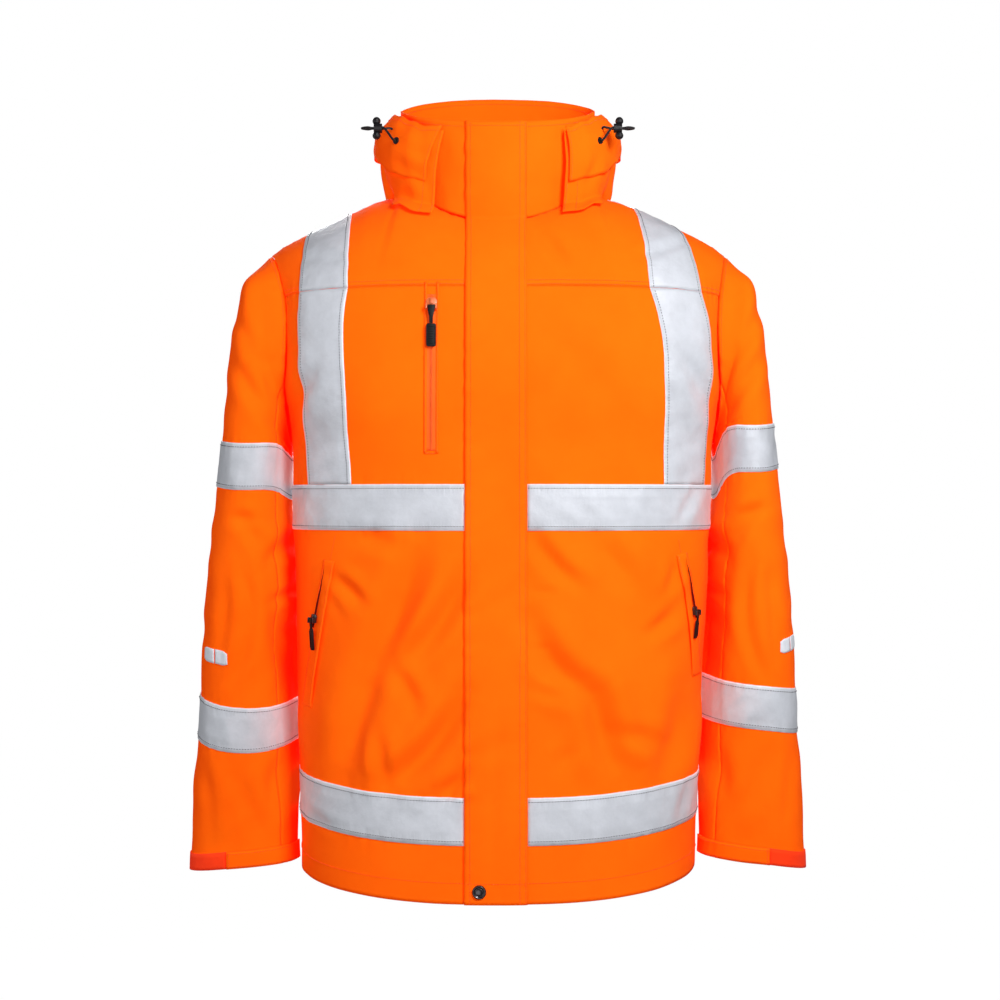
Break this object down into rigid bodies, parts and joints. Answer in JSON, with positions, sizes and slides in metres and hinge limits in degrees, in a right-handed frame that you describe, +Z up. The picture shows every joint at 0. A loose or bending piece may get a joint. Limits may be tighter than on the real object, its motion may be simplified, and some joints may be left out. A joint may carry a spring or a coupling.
{
  "type": "hi-vis work jacket with hood, filled out as worn",
  "caption": "Hip-length orange hi-vis shell jacket with reflective tapes, storm flap, zipped pockets and a folded-down hood, filled out as worn, hollow",
  "frame": {"origin": "middle of the wearer's neck, level with the side-neck points of the shoulder seams", "axes": "+Z up; +X to the wearer's left; the front of the jacket faces -Y"},
  "size_m": [0.706, 0.3592, 0.906],
  "materials": {
    "orange_shell": "fluorescent coated polyester, matt",
    "reflective_tape": "silver retroreflective tape, satin",
    "zip_tape": "woven zip tape",
    "hook_strip": "hook and loop, matt",
    "orange_slider": "painted zip slider",
    "black_slider": "black zip slider",
    "black_snap": "black enamelled snap cap",
    "black_rubber": "moulded pull",
    "black_plastic": "moulded nylon",
    "black_cord": "braided elastic cord"
  },
  "bodies": {
    "jacket": {"back": "orange_shell", "brace_back_left": "reflective_tape", "brace_back_right": "reflective_tape", "brace_back_yoke_left": "reflective_tape", "brace_back_yoke_right": "reflective_tape", "brace_front_left": "reflective_tape", "brace_front_right": "reflective_tape", "brace_yoke_left": "reflective_tape", "brace_yoke_right": "reflective_tape", "chest_band_back": "reflective_tape", "chest_band_left": "reflective_tape", "chest_band_right": "reflective_tape", "chest_slider": "orange_slider", "chest_zip_tape": "zip_tape", "collar": "orange_shell", "cord_lock_left": "black_plastic", "cord_lock_right": "black_plastic", "cuff_strip_left": "hook_strip", "cuff_strip_right": "hook_strip", "cuff_tab_left": "orange_shell", "cuff_tab_right": "orange_shell", "drawcord_left": "black_cord", "drawcord_right": "black_cord", "elbow_patch_left": "reflective_tape", "elbow_patch_right": "reflective_tape", "eyelet_left": "black_plastic", "eyelet_right": "black_plastic", "front_left": "orange_shell", "front_right": "orange_shell", "front_zip": "zip_tape", "hem_band_back": "reflective_tape", "hem_band_left": "reflective_tape", "hem_band_right": "reflective_tape", "hem_snap": "black_snap", "hood_back": "orange_shell", "hood_brim_left": "orange_shell", "hood_brim_right": "orange_shell", "hood_side_left": "orange_shell", "hood_side_right": "orange_shell", "pocket_left_slider": "black_slider", "pocket_right_slider": "black_slider", "pocket_welt_left": "orange_shell", "pocket_welt_right": "orange_shell", "sleeve_lower_band_left": "reflective_tape", "sleeve_lower_band_right": "reflective_tape", "sleeve_under_left": "orange_shell", "sleeve_under_right": "orange_shell", "sleeve_upper_band_left": "reflective_tape", "sleeve_upper_band_right": "reflective_tape", "sleeve_upper_left": "orange_shell", "sleeve_upper_right": "orange_shell", "storm_flap": "orange_shell", "yoke_back": "orange_shell", "yoke_front_left": "orange_shell", "yoke_front_right": "orange_shell"},
    "chest_pull": {"chest_pull_link": "black_rubber", "chest_pull_grip": "black_rubber"},
    "pocket_pull_right": {"pocket_right_pull": "black_rubber"},
    "pocket_pull_left": {"pocket_left_pull": "black_rubber"}
  },
  "joints": [
    {"name": "chest_pull_hinge", "type": "hinge", "parent": "jacket", "child": "chest_pull", "pos_m": [-0.07176, -0.14776, -0.14146], "axis": [-0.9996, 0.0298, 0], "range_deg": [0, 150]},
    {"name": "pocket_pull_right_hinge", "type": "hinge", "parent": "jacket", "child": "pocket_pull_right", "pos_m": [-0.20524, -0.11043, -0.48197], "axis": [-0.6108, 0.7918, 0], "range_deg": [0, 120]},
    {"name": "pocket_pull_left_hinge", "type": "hinge", "parent": "jacket", "child": "pocket_pull_left", "pos_m": [0.22123, -0.09805, -0.47407], "axis": [-0.5238, -0.8519, 0], "range_deg": [0, 120]}
  ]
}
